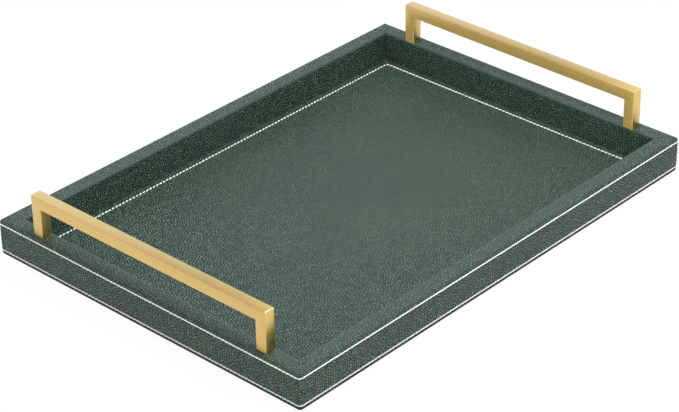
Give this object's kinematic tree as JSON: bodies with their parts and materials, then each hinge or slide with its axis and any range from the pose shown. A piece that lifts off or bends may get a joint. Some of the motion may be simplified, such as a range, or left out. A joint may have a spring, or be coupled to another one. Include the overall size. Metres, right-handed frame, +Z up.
{
  "type": "serving tray",
  "caption": "Rectangular serving tray with raised walls, wrapped in stitched pebbled faux leather, with a square-bar brass handle standing on each short side.",
  "frame": {"origin": "centre of the footprint, on the surface that the tray stands on", "axes": "+X along the tray's length, from one handle to the other; +Y along its width; +Z up"},
  "size_m": [0.4204, 0.2984, 0.06],
  "materials": {
    "green_leather": "pebbled, semi-matte",
    "white_thread": "twisted polyester thread",
    "brushed_brass": "brushed satin",
    "fibreboard": "raw medium-density fibreboard",
    "black_felt": "matte flocked felt",
    "zinc_steel": "zinc plated"
  },
  "bodies": {
    "root": {"bottom_lining": "black_felt", "base_board": "fibreboard", "frame_rail_front": "fibreboard", "frame_rail_back": "fibreboard", "frame_rail_left": "fibreboard", "frame_rail_right": "fibreboard", "rim_cover_front": "green_leather", "rim_cover_back": "green_leather", "rim_cover_left": "green_leather", "rim_cover_right": "green_leather", "side_band": "green_leather", "floor_leather": "green_leather", "side_stitching_upper": "white_thread", "side_stitching_lower": "white_thread", "floor_stitching": "white_thread", "handle_left_grip": "brushed_brass", "handle_left_post_front": "brushed_brass", "handle_left_post_back": "brushed_brass", "handle_right_grip": "brushed_brass", "handle_right_post_front": "brushed_brass", "handle_right_post_back": "brushed_brass", "handle_screws": "zinc_steel", "base_brads": "zinc_steel", "corner_brads": "zinc_steel"}
  },
  "joints": []
}
